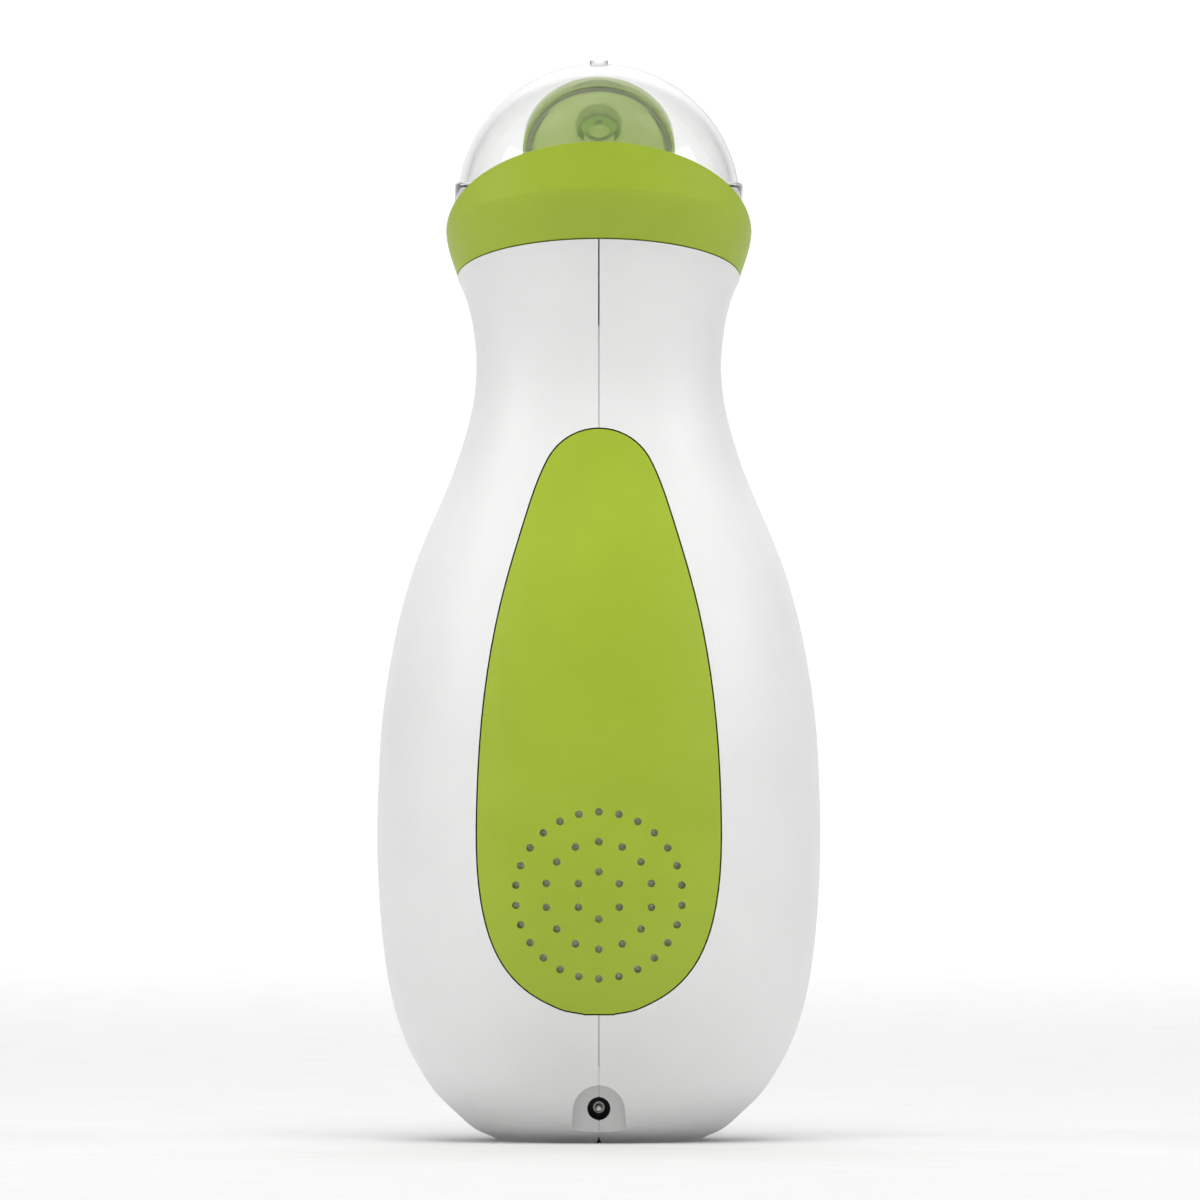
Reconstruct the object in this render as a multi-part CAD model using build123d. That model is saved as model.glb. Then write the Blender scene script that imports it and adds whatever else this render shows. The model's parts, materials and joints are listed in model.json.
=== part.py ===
"""Nasal aspirator, held upright, with a clear cap, a green collecting head and a pear-shaped housing.

Millimetres. The origin is the centre of the base, +Z is up, -Y is the back (rear cover and DC inlet),
+Y is the front (power button, and the side the nozzle leans to), and the housing splits at X = 0.
Every node is written as its own STEP file in parts/.
"""

import os
from math import cos, radians, sin, sqrt

from build123d import *

os.makedirs("parts", exist_ok=True)

# ---------------------------------------------------------------- driving dimensions
wall = 2.0
seam_gap = 0.24
lip_depth = 0.4
groove = 0.26

# housing outline: height, half width, front bulge as a factor of the half width
belly_sections = (
    (0.0, 17.6, 1.08),
    (1.2, 19.9, 1.08),
    (2.8, 22.6, 1.09),
    (4.9, 24.9, 1.09),
    (6.9, 27.0, 1.09),
    (11.3, 30.4, 1.10),
    (15.6, 32.8, 1.10),
    (24.3, 35.8, 1.11),
    (33.0, 37.3, 1.12),
    (41.6, 38.1, 1.12),
    (54.6, 38.45, 1.12),
    (67.7, 38.0, 1.12),
    (76.3, 37.2, 1.12),
    (85.0, 35.8, 1.11),
    (93.7, 33.8, 1.09),
    (102.4, 30.9, 1.07),
    (111.0, 27.2, 1.04),
    (119.7, 23.9, 1.02),
    (128.4, 21.7, 1.0),
)
# neck sections lean back: height, half width, centre y, lean in degrees
neck_sections = (
    (134.8, 21.25, 0.0, 3.0),
    (141.4, 21.9, 0.1, 8.0),
    (145.7, 22.9, 0.2, 12.0),
)

# collar, deck and cap
collar_lean = 15.0
collar_centre_y = 0.3
collar_centre_z = 157.5
collar_radius = 26.5
rim_drop = 7.4
rim_radius = 24.5
collar_sections = ((rim_drop, rim_radius), (5.2, 25.2), (3.3, 25.85), (1.5, 26.3), (0, collar_radius))
collar_back_slope = 30.0
collar_front_z = 150.6
cap_bore_radius = 25.25
ledge_drop = 1.3
deck_radius = 24.2
deck_thickness = 2.0
spigot_radius = 22.5
spigot_inner = 20.9
dome_centre_z = 162.2
dome_radius = 24.6
dome_wall = 1.5
skirt_radius = 25.0
skirt_top_z = 166.0
nub_radius = 1.6
nub_height = 0.5

# collecting head
head_lean = 33.0
head_centre = (0, 3.0, 172.3)
head_radius = 13.25
head_depth = 8.0
head_ring_radius = 9.2
nozzle_radius = 3.64
nozzle_tip_radius = 1.5
nozzle_length = 10.8
nozzle_bore = 0.9
stem_radius = 4.2
stem_bore = 2.4
stem_bottom_z = 147.6
socket_bore = 5.4
socket_radius = 7.0
socket_floor_z = 146.4

# rear cover
cover_top_z = 123.2
cover_corner = (8.7, 118.0)
cover_side = (
    (12.67, 107.6),
    (16.65, 93.7),
    (19.26, 79.8),
    (20.9, 57.5),
    (20.1, 41.6),
    (16.5, 31.2),
    (11.6, 26.1),
    (6.2, 23.4),
)
cover_bottom_z = 22.6
cover_gap = 0.25
vent_centre_z = 43.0
vent_rings = ((4.06, 6), (9.24, 14), (14.35, 26))
vent_hole_radius = 0.65
filter_radius = 16.6
filter_thickness = 2.4
vent_skin = 1.2

# DC inlet
inlet_z = 6.0
inlet_face_y = -21.5
inlet_hole_radius = 2.0
pocket_half_width = 4.5
pocket_flare = 0.5
pocket_arch_z = 5.7

# power button, on an axis square to the front of the neck
button_z = 112.0
button_lean = 22.0
button_radius = 6.5
button_travel = 0.5
light_ring_radius = 9.0
board_depth = 9.8
board_size = (16.0, 32.0, 1.6)
board_screw_at = (5.4, 13.0)

# pump and motor on one upright axis
pump_y = 4.0
motor_radius = 12.2
motor_bottom_z = 15.5
motor_top_z = 44.0
shaft_radius = 1.0
damper_radius = 14.0
wobble_centre_z = 63.0
wobble_lean = 8.0
chamber_circle = 7.6
frame_radius = 13.4
frame_bottom_z = 46.0
frame_top_z = 60.6
head_top_z = 74.0
suction_spout_x = -6.0

# cells and tray
cell_radius = 7.1
cell_length = 49.5
cell_nub = (2.75, 1.0)
cell_x = 7.6
cell_y = -22.5
tray_front_y = -13.3
tray_back_y = -14.9
tray_half_width = 16.4
tray_floor_z = 40.0
tray_ceiling_z = 95.0
contact_thickness = 0.4
contact_gap = 0.1
spring_radius = 3.4
spring_wire = 0.4
tray_low_screw = (13.5, 34.0)
tray_high_screw = (6.0, 99.5)
exhaust_spout = (24.0, 50.0)

# ---------------------------------------------------------------- helpers
lean = radians(collar_lean)
collar_axis = Vector(0, sin(lean), cos(lean))
collar_origin = Vector(0, collar_centre_y, collar_centre_z)


def collar_plane(drop):
    """Plane across the leaning collar, this far below its widest section, centred on the cap's axis."""
    return Plane(origin=collar_origin - Vector(0, 0, drop / cos(lean)), x_dir=(1, 0, 0), z_dir=collar_axis)


def above(drop):
    """Everything above the leaning plane at that drop."""
    return collar_plane(drop) * extrude(Rectangle(120, 120), 60)


def section(plane, half_width, depth_back, depth_front):
    """Closed outline on a plane: a half ellipse at the back and another at the front."""
    back = EllipticalCenterArc((0, 0), half_width, depth_back, start_angle=180, arc_size=180)
    front = EllipticalCenterArc((0, 0), half_width, depth_front, start_angle=0, arc_size=180)
    return plane * Wire([back.edge(), front.edge()])


def hull(inset=0.0):
    """The housing's outer form, or the same form a distance inside it."""
    outlines = []
    for z, half_width, bulge in belly_sections:
        if z >= inset or z == 0:
            plane = Plane(origin=(0, 0, max(z, inset)))
            r = half_width - inset
            outlines.append(section(plane, r, r, half_width * bulge - inset))
    for z, half_width, y, tilt in neck_sections:
        t = radians(tilt)
        plane = Plane(origin=(0, y, z), x_dir=(1, 0, 0), z_dir=(0, sin(t), cos(t)))
        r = half_width - inset
        outlines.append(section(plane, r, r, r))
    r = rim_radius - inset
    outlines.append(section(collar_plane(rim_drop + groove), r, r, r))
    return Solid.make_loft(outlines)


def cylinder_z(x, y, radius, bottom, top):
    """Upright cylinder between two heights."""
    return Pos(x, y, bottom) * extrude(Circle(radius), top - bottom)


def ring_z(x, y, outer, inner, bottom, top):
    """Upright ring between two heights."""
    return cylinder_z(x, y, outer, bottom, top) - cylinder_z(x, y, inner, bottom - 1, top + 1)


def cylinder_y(x, z, radius, back, front):
    """Cylinder along Y between two depths."""
    plane = Plane(origin=(x, back, z), x_dir=(1, 0, 0), z_dir=(0, 1, 0))
    return plane * extrude(Circle(radius), front - back)


def block(x0, x1, y0, y1, z0, z1):
    """Box between two corners."""
    centre = Pos((x0 + x1) / 2, (y0 + y1) / 2, (z0 + z1) / 2)
    return centre * Box(abs(x1 - x0), abs(y1 - y0), abs(z1 - z0))


def rod(points, radii, radius):
    """Round rod along straight runs joined by tangent arcs."""
    path = FilletPolyline(*points, radius=radii) if radii else Line(*points)
    start = Plane(origin=path @ 0, z_dir=path % 0)
    return sweep(start * Circle(radius), path=path)


def save(shape, name):
    """Write one node."""
    shape.label = name
    export_step(shape, "parts/" + name + ".step")


def both_sides(shape):
    """The shape and its mirror image across X = 0."""
    return Compound(children=[shape, mirror(shape, Plane.YZ)])


outer_form = hull()
inner_form = hull(wall)

# ---------------------------------------------------------------- rear cover outline
corner_x, corner_z = cover_corner
corner_drop = cover_top_z - corner_z
top_arc_radius = (corner_x**2 + corner_drop**2) / (2 * corner_drop)
top_arc_z = cover_top_z - top_arc_radius
side_spline = Spline(
    [cover_corner, *cover_side, (0, cover_bottom_z)],
    tangents=[(corner_z - top_arc_z, -corner_x), (-1, 0)],
)
side_samples = 40
back_plane = Plane(origin=(0, 0, 0), x_dir=(1, 0, 0), z_dir=(0, -1, 0))


def cover_prism(grow):
    """The teardrop outline, grown or shrunk, run through the back of the housing."""
    side_points = []
    for k in range(side_samples + 1):
        point = side_spline @ (k / side_samples)
        along = side_spline % (k / side_samples)
        side_points.append((point.X - along.Y * grow, point.Y + along.X * grow))
    side_points[-1] = (0, cover_bottom_z - grow)
    side = Spline(side_points, tangents=[side_spline % 0, (-1, 0)]).edge()
    top = RadiusArc((0, cover_top_z + grow), side_points[0], top_arc_radius + grow).edge()
    face = make_face(Wire([top, side, side.mirror(Plane.YZ), top.mirror(Plane.YZ)]))
    return extrude(back_plane * face, 60)


# ---------------------------------------------------------------- housing halves
pocket_outline = make_face(
    Polyline(
        (-pocket_half_width, pocket_arch_z),
        (-pocket_half_width - pocket_flare, -3),
        (pocket_half_width + pocket_flare, -3),
        (pocket_half_width, pocket_arch_z),
    )
    + ThreePointArc(
        (pocket_half_width, pocket_arch_z),
        (0, pocket_arch_z + pocket_half_width),
        (-pocket_half_width, pocket_arch_z),
    )
)
pocket = Pos(0, inlet_face_y, 0) * extrude(back_plane * pocket_outline, 20)
inlet_hole = cylinder_y(0, inlet_z, inlet_hole_radius, inlet_face_y - 1, inlet_face_y + 4)
inlet_boss = block(-7.2, 7.2, -30, inlet_face_y + wall, 0, 12.8) & outer_form

button_tilt = radians(button_lean)
button_y = 27.35
button_plane = Plane(
    origin=(0, button_y, button_z),
    x_dir=(1, 0, 0),
    z_dir=(0, cos(button_tilt), sin(button_tilt)),
)


def button_cylinder(radius, low, high, x=0.0, v=0.0):
    """Cylinder along the button's axis; low and high are depths from the surface, outward positive."""
    return button_plane * Pos(x, v, low) * extrude(Circle(radius), high - low)


spigot = ring_z(0, collar_centre_y, spigot_radius - 0.05, spigot_inner, 130, 190) & above(rim_drop + 2.4)
spigot -= above(ledge_drop + deck_thickness + 0.05)

housing = outer_form - inner_form
housing += inlet_boss
housing += spigot
housing -= cover_prism(cover_gap)
housing -= pocket
housing -= inlet_hole
housing -= button_cylinder(light_ring_radius + 0.1, -12, 8)

rib_zone = inner_form & block(-40, 40, -9, 46, 24, 39.6)
rib_layers = block(-40, 40, -9, 46, 24, 25.6) + block(-40, 40, -9, 46, 38, 39.6)
ribs = (rib_zone & rib_layers) - cylinder_z(0, pump_y, damper_radius + 0.05, 20, 45)
ribs -= block(-6.5, 6.5, 18.5, 50, 20, 45)

seat_fins = block(9, 13.5, pump_y - 1, pump_y + 1, 1.5, 13.9)

low_boss_y = -6.0
boss_zone = hull(1.0)


def screw_boss(at, reach):
    """Boss along Y with a web out to the side of the housing."""
    x, z = at
    post = cylinder_y(x, z, 3.0, tray_front_y, reach)
    web = block(x, 40, tray_front_y, reach, z - 0.8, z + 0.8) & boss_zone
    return post + web - cylinder_y(x, z, 1.05, tray_front_y - 1, reach - 1.0)


def board_boss(v):
    """Boss from the front wall back to the circuit board."""
    x = board_screw_at[0]
    post = button_cylinder(2.1, -board_depth + board_size[2], 12, x, v) & boss_zone
    return post - button_cylinder(0.8, -board_depth, -board_depth + 6, x, v)


side_details = [
    screw_boss(tray_low_screw, low_boss_y),
    screw_boss(tray_high_screw, -8.0),
    board_boss(board_screw_at[1]),
    board_boss(-board_screw_at[1]),
    seat_fins,
]
notch_plane = Plane(origin=(0, -45, 0), x_dir=(1, 0, 0), z_dir=(0, 1, 0))
notch_outline = make_face(Polyline((-0.45, 0), (0.45, 0), (0, -0.85), close=True))
base_notch = extrude(notch_plane * notch_outline, 95)
lip_outer = hull(lip_depth)
groove_outer = hull(lip_depth - 0.05)
seam_lip = (lip_outer - inner_form) & block(-1.2, 1.1, -40, 45, 1.0, 141)
seam_recess = groove_outer & block(0, 1.25, -40, 45, 0.95, 141.2)
seam_cuts = cover_prism(cover_gap) + pocket + inlet_hole + button_cylinder(light_ring_radius + 0.1, -12, 8)
seam_lip -= seam_cuts
seam_lip -= block(-10, 10, -30, inlet_face_y + wall + 0.2, 0, 13)

half_room = block(seam_gap / 2, 60, -60, 60, -5, 175)
right_shell = housing & half_room
for detail in side_details:
    right_shell += detail
right_shell += ribs & half_room
left_shell = mirror(right_shell, Plane.YZ)
right_shell -= seam_recess - block(-10, 10, -30, inlet_face_y + wall + 0.2, 0, 13)
left_shell += seam_lip
left_shell -= base_notch
right_shell -= base_notch
save(left_shell, "left_shell")
save(right_shell, "right_shell")

# ---------------------------------------------------------------- collar ring
def collar_outline(drop, half_width):
    """Section of the collar, from a true circle at the rim to the upright cylinder above."""
    depth = half_width * (1 + (1 / cos(lean) - 1) * (1 - drop / rim_drop))
    return section(collar_plane(drop), half_width, depth, depth)


collar_form = Solid.make_loft([collar_outline(drop, radius) for drop, radius in collar_sections])
collar_form += cylinder_z(0, collar_centre_y, collar_radius, 140, 180) & above(0)

slope = radians(collar_back_slope)
back_reach = 32.0
front_reach = 32.0
top_cut_outline = make_face(
    Polyline(
        (0, collar_centre_z),
        (-back_reach, collar_centre_z + back_reach * sin(slope) / cos(slope)),
        (-back_reach, 200),
        (front_reach, 200),
        (front_reach, collar_front_z),
        (24.0, collar_front_z),
    )
    + Spline(
        (24.0, collar_front_z),
        (0, collar_centre_z),
        tangents=[(-1, 0.02), (-cos(slope), sin(slope))],
    )
)
side_plane = Plane(origin=(-40, 0, 0), x_dir=(0, 1, 0), z_dir=(1, 0, 0))
top_cut = extrude(side_plane * top_cut_outline, 80)

collar_ring = collar_form - top_cut
collar_ring -= cylinder_z(0, collar_centre_y, cap_bore_radius, 130, 190) & above(ledge_drop)
deck_floor = above(ledge_drop + deck_thickness)
collar_ring -= cylinder_z(0, collar_centre_y, deck_radius + 0.1, 130, 190) & deck_floor
collar_ring -= cylinder_z(0, collar_centre_y, spigot_radius + 0.05, 130, 190)
save(collar_ring, "collar_ring")

# ---------------------------------------------------------------- deck, socket and hose spout
deck_slab = cylinder_z(0, collar_centre_y, deck_radius, 130, 190) & deck_floor
deck_slab -= above(ledge_drop)
socket_tube = cylinder_z(0, collar_centre_y, socket_radius, socket_floor_z - 1.6, 159.0)
socket_room = cylinder_z(0, collar_centre_y, socket_bore, socket_floor_z, 170)
spout = cylinder_z(0, collar_centre_y, 2.1, 137.5, socket_floor_z - 1)
spout += cylinder_z(0, collar_centre_y, 2.35, 139.0, 140.2)
head_deck = deck_slab + socket_tube - socket_room + spout
head_deck -= cylinder_z(0, collar_centre_y, 1.2, 130, 150)
save(head_deck, "head_deck")

seal_bore = stem_radius + 0.08
socket_seal = ring_z(0, collar_centre_y, socket_bore - 0.03, seal_bore, socket_floor_z + 1.6, 159.0)
socket_seal += ring_z(0, collar_centre_y, socket_radius - 0.4, seal_bore, 159.0, 159.4)
save(socket_seal, "socket_seal")

# ---------------------------------------------------------------- cap
cap_centre = Pos(0, collar_centre_y, 0)
dome_profile = make_face(
    Polyline(
        (0, dome_centre_z),
        (skirt_radius, dome_centre_z),
        (skirt_radius, skirt_top_z - 0.25),
        (skirt_radius - 0.25, skirt_top_z),
        (sqrt(dome_radius**2 - (skirt_top_z - dome_centre_z) ** 2), skirt_top_z),
    )
    + RadiusArc(
        (sqrt(dome_radius**2 - (skirt_top_z - dome_centre_z) ** 2), skirt_top_z),
        (0, dome_centre_z + dome_radius),
        -dome_radius,
    )
    + Line((0, dome_centre_z + dome_radius), (0, dome_centre_z))
)
dome_form = revolve(Plane.XZ * dome_profile, Axis.Z, 360)
dome_form += cylinder_z(0, 0, skirt_radius, 140, dome_centre_z)
dome_top_z = dome_centre_z + dome_radius
dome_form += cylinder_z(0, 0, nub_radius, dome_top_z - 1, dome_top_z + nub_height)
dome_inside = Pos(0, 0, dome_centre_z) * Sphere(dome_radius - dome_wall)
dome_inside += cylinder_z(0, 0, dome_radius - dome_wall, 130, dome_centre_z)
cap_dome = (cap_centre * (dome_form - dome_inside)) & above(ledge_drop - 0.05)
save(cap_dome, "cap_dome")

# ---------------------------------------------------------------- collecting head
head_tilt = radians(head_lean)
head_axis = Vector(0, cos(head_tilt), sin(head_tilt))
head_plane = Plane(origin=head_centre, x_dir=(1, 0, 0), z_dir=head_axis)
turn_axis = Axis(head_plane.origin, head_axis)


def turned_outline(outline):
    """Solid of revolution about the head's axis from a closed outline of (radius, distance) edges."""
    lathe = Plane(origin=head_centre, x_dir=(1, 0, 0), z_dir=Vector(1, 0, 0).cross(head_axis))
    return revolve(lathe * make_face(outline), turn_axis, 360)


def turned(points):
    """Solid of revolution about the head's axis from (radius, distance along the axis) points."""
    return turned_outline(Polyline(*points, close=True))


bowl_outside = turned_outline(
    Polyline(
        (12.75, -1.5),
        (head_radius, -1.5),
        (head_radius, -0.05),
        (0, -0.05),
        (0, -head_depth),
        (6.2, -head_depth),
    )
    + Spline(
        (6.2, -head_depth),
        (10.6, -6.2),
        (12.75, -1.5),
        tangents=[(1, 0), (0, 1)],
    )
)
bowl_inside = turned_outline(
    Polyline(
        (11.45, -1.5),
        (11.45, 1.0),
        (0, 1.0),
        (0, 1.3 - head_depth),
        (6.0, 1.3 - head_depth),
    )
    + Spline(
        (6.0, 1.3 - head_depth),
        (9.7, -5.2),
        (11.45, -1.5),
        tangents=[(1, 0), (0, 1)],
    )
)
stem_top_z = 168.0
stem = cylinder_z(0, collar_centre_y, stem_radius, stem_bottom_z, stem_top_z) - turned(
    ((0, -head_depth + 0.2), (14, -head_depth + 0.2), (14, 20), (0, 20))
)
stem += cylinder_z(0, collar_centre_y, stem_radius + 1.2, 160.4, 161.4)
stem_web = cylinder_z(0, collar_centre_y, stem_radius, 161, stem_top_z) & bowl_outside
head_bowl = bowl_outside + stem + stem_web - bowl_inside
head_bowl -= cylinder_z(0, collar_centre_y, stem_bore, stem_bottom_z - 1, 166.0)
head_bowl -= turned(((10.9, -1.1), (12.35, -1.1), (12.35, 0.5), (10.9, 0.5)))
save(head_bowl, "head_bowl")

head_seal = turned(((11.5, -1.05), (12.3, -1.05), (12.3, -0.1), (11.5, -0.1)))
save(head_seal, "head_seal")

nozzle_outside = turned_outline(
    Polyline(
        (nozzle_tip_radius, nozzle_length),
        (0, nozzle_length),
        (0, 0),
        (head_radius, 0),
        (head_radius, 1.5),
        (12.7, 2.2),
        (head_ring_radius + 0.6, 3.0),
        (head_ring_radius, 2.6),
    )
    + Spline(
        (head_ring_radius, 2.6),
        (nozzle_radius + 0.9, 4.1),
        (nozzle_radius - 0.2, 7.2),
        (nozzle_tip_radius, nozzle_length),
        tangents=[(-1, 0.1), (-1, 0)],
    )
)
nozzle_hollow = turned(
    (
        (0, -1.0),
        (11.4, -1.0),
        (11.4, 0.4),
        (8.4, 1.2),
        (5.2, 1.9),
        (2.6, 3.2),
        (2.0, 5.2),
        (nozzle_bore, 9.0),
        (nozzle_bore, nozzle_length + 1),
        (0, nozzle_length + 1),
    )
)
head_front = nozzle_outside - nozzle_hollow
save(head_front, "head_front")

# ---------------------------------------------------------------- rear cover and its filter
cover_skin = (outer_form - hull(wall)) & cover_prism(0)
cover_lip = (hull(wall - 0.1) - hull(3.4)) & (cover_prism(-1.3) - cover_prism(-2.3))
vents = [
    cylinder_y(
        radius * sin(radians(360 * k / count)),
        vent_centre_z + radius * cos(radians(360 * k / count)),
        vent_hole_radius,
        -45,
        -20,
    )
    for radius, count in vent_rings
    for k in range(count)
]
vent_recess = hull(vent_skin) & cylinder_y(0, vent_centre_z, filter_radius + 0.4, -45, -20)
rear_cover = cover_skin + cover_lip - vent_recess
rear_cover = rear_cover.cut(*vents)
save(rear_cover, "rear_cover")

vent_filter = hull(vent_skin + 0.02) - hull(vent_skin + filter_thickness)
vent_filter &= cylinder_y(0, vent_centre_z, filter_radius, -45, -20)
save(vent_filter, "vent_filter")

# ---------------------------------------------------------------- DC inlet
dc_back_y = -10.5
dc_front_y = inlet_face_y + wall + 0.02
dc_socket_body = block(-4.0, 4.0, dc_front_y, dc_back_y, 2.05, 9.8)
dc_socket_body -= cylinder_y(0, inlet_z, 1.9, dc_front_y - 1, dc_back_y - 1.5)
dc_pin = cylinder_y(0, inlet_z, 0.65, inlet_face_y + 0.9, dc_back_y - 1.5)
dc_pin += Pos(0, inlet_face_y + 0.9, inlet_z) * Sphere(0.65)
dc_pin += cylinder_y(0, inlet_z, 1.0, dc_back_y - 1.5, dc_back_y + 0.6)
dc_socket_body -= cylinder_y(0, inlet_z, 1.0, dc_back_y - 2, dc_back_y + 1)
dc_tab_y = -14.5
dc_tab = block(1.7, 2.7, dc_tab_y - 0.2, dc_tab_y + 0.2, 9.8, 12.0)
dc_contacts = both_sides(dc_tab)
save(dc_socket_body, "dc_socket_body")
save(dc_pin, "dc_pin")
save(dc_contacts, "dc_contacts")

# ---------------------------------------------------------------- power button and board
light_ring = button_cylinder(light_ring_radius, -8, 8) & outer_form
light_ring += button_cylinder(light_ring_radius + 1.4, -8, 8) & hull(wall + 0.02)
light_ring -= hull(wall + 0.8)
light_ring -= button_cylinder(button_radius + 0.25, -12, 8)
save(light_ring, "light_ring")

button_form = button_cylinder(button_radius, -8, 8) & hull(-0.5)
button_form -= hull(wall + 1.6)
button_flange = (button_cylinder(button_radius + 1.1, -8, 8) & hull(wall + 1.0)) - hull(wall + 1.8)
button_stem = button_cylinder(1.5, -5.0, -3.0)
power_button = button_form + button_flange + button_stem
save(power_button, "power_button")

board_top = -board_depth + board_size[2]
board_width, board_height, board_thickness = board_size
board_blank = extrude(Rectangle(board_width, board_height), board_thickness)
circuit_board = button_plane * Pos(0, 0, -board_depth) * board_blank
for side in (-1, 1):
    for end in (-1, 1):
        screw_x = side * board_screw_at[0]
        screw_y = end * board_screw_at[1]
        circuit_board -= button_cylinder(0.95, -board_depth - 1, board_top + 1, screw_x, screw_y)
save(circuit_board, "circuit_board")

tact_base = button_plane * Pos(0, 0, board_top) * extrude(Rectangle(6, 6), 1.9)
tact_switch = tact_base + button_cylinder(1.7, board_top + 1.9, -5.0 - button_travel - 0.1)
save(tact_switch, "tact_switch")


def on_board_back(x, v, width, length, height):
    """Component on the back of the board."""
    return button_plane * Pos(x, v, -board_depth - height) * extrude(Rectangle(width, length), height)


board_parts = Compound(
    children=[
        on_board_back(0, 2.6, 5.0, 5.0, 1.4),
        on_board_back(-5.4, 4.0, 2.4, 1.6, 1.0),
        on_board_back(-5.4, 0.5, 2.4, 1.6, 1.0),
        on_board_back(5.4, 3.6, 2.6, 3.0, 1.8),
        on_board_back(0, -4.6, 4.6, 4.6, 2.6),
    ]
)
save(board_parts, "board_parts")

led = button_plane * Pos(7.0, 0, board_top) * extrude(Rectangle(1.6, 3.0), 1.1)
status_leds = both_sides(led)
save(status_leds, "status_leds")


def board_screw(v):
    """Screw through the board into its boss."""
    x = board_screw_at[0]
    head = button_cylinder(1.7, -board_depth - 1.2, -board_depth, x, v)
    shank = button_cylinder(0.78, -board_depth, -board_depth + 5.6, x, v)
    slot = button_plane * Pos(x, v, -board_depth - 1.3) * extrude(Rectangle(0.4, 2.2), 0.6)
    return head + shank - slot


board_screw_pair = [board_screw(end * board_screw_at[1]) for end in (1, -1)]
board_screws = both_sides(Compound(children=board_screw_pair))
save(board_screws, "board_screws")

# ---------------------------------------------------------------- motor
motor_can = cylinder_z(0, pump_y, motor_radius, motor_bottom_z + 1.5, motor_top_z)
motor_can -= cylinder_z(0, pump_y, motor_radius - 1.0, motor_bottom_z, motor_top_z - 1.0)
motor_can += cylinder_z(0, pump_y, 4.6, motor_top_z - 1.0, motor_top_z + 1.4)
motor_can -= cylinder_z(0, pump_y, 2.6, motor_top_z - 2, motor_top_z + 3)

end_cap = cylinder_z(0, pump_y, motor_radius, motor_bottom_z, motor_bottom_z + 1.5)
cap_rim = motor_radius - 1.02
end_cap += ring_z(0, pump_y, cap_rim, cap_rim - 1.18, motor_bottom_z + 1.5, motor_bottom_z + 4.0)
end_cap += cylinder_z(0, pump_y, 4.2, motor_bottom_z - 0.9, motor_bottom_z)
end_cap -= cylinder_z(0, pump_y, 2.6, motor_bottom_z - 2, motor_bottom_z + 3)
terminal_x = 7.0
for side in (-1, 1):
    end_cap -= block(side * terminal_x - 0.25, side * terminal_x + 0.25, pump_y - 1.1, pump_y + 1.1, 10, 18)
save(end_cap, "motor_end_cap")

bush_low = ring_z(0, pump_y, 2.58, shaft_radius + 0.03, motor_bottom_z - 0.9, motor_bottom_z + 1.4)
bush_high = ring_z(0, pump_y, 2.58, shaft_radius + 0.03, motor_top_z - 1.0, motor_top_z + 1.4)
save(Compound(children=[bush_low, bush_high]), "motor_bushes")

magnet_bottom_z = motor_bottom_z + 5.5
magnet_top_z = motor_top_z - 3.5
magnet = ring_z(0, pump_y, motor_radius - 1.02, 9.4, magnet_bottom_z, magnet_top_z)
magnet &= block(2.8, 20, pump_y - 20, pump_y + 20, magnet_bottom_z, magnet_top_z)
save(both_sides(magnet), "motor_magnets")

pole_count = 3
rotor_core = cylinder_z(0, pump_y, 4.0, 23.5, 38.5)
pole_face = ring_z(0, pump_y, 8.9, 7.4, 23.5, 38.5)
core_arms = []
coils = []
for k in range(pole_count):
    turn = Pos(0, pump_y, 0) * Rot(0, 0, 360 * k / pole_count) * Pos(0, -pump_y, 0)
    core_arms.append(turn * block(3, 8.2, pump_y - 1.3, pump_y + 1.3, 23.5, 38.5))
    core_arms.append(turn * (pole_face & block(4, 20, pump_y - 5.6, pump_y + 5.6, 20, 40)))
    coil = block(4.4, 7.1, pump_y - 3.1, pump_y + 3.1, 22.0, 40.0)
    coil -= block(4, 8, pump_y - 1.35, pump_y + 1.35, 23.4, 38.6)
    coil &= cylinder_z(0, pump_y, 7.3, 20, 42)
    coils.append(turn * coil)
rotor_core = rotor_core.fuse(*core_arms)
rotor_core -= cylinder_z(0, pump_y, shaft_radius, 20, 42)
save(rotor_core, "rotor_core")
save(Compound(children=coils), "rotor_windings")

shaft_top_z = 50.6
motor_shaft = cylinder_z(0, pump_y, shaft_radius, motor_bottom_z - 0.6, shaft_top_z)
save(motor_shaft, "motor_shaft")

commutator = ring_z(0, pump_y, 2.7, shaft_radius, 18.0, 21.4)
for k in range(pole_count):
    turn = Pos(0, pump_y, 0) * Rot(0, 0, 120 * k + 60) * Pos(0, -pump_y, 0)
    commutator -= turn * block(2.2, 4, pump_y - 0.2, pump_y + 0.2, 17, 22)
save(commutator, "commutator")

terminal = block(terminal_x - 0.2, terminal_x + 0.2, pump_y - 1.0, pump_y + 1.0, 12.6, 18.6)
save(both_sides(terminal), "motor_terminals")
brush = block(3.0, terminal_x - 0.2, pump_y - 0.8, pump_y + 0.8, 18.7, 20.7)
brush += block(terminal_x - 0.2, terminal_x + 0.2, pump_y - 1.0, pump_y + 1.0, 18.6, 20.7)
save(both_sides(brush), "motor_brushes")

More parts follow.
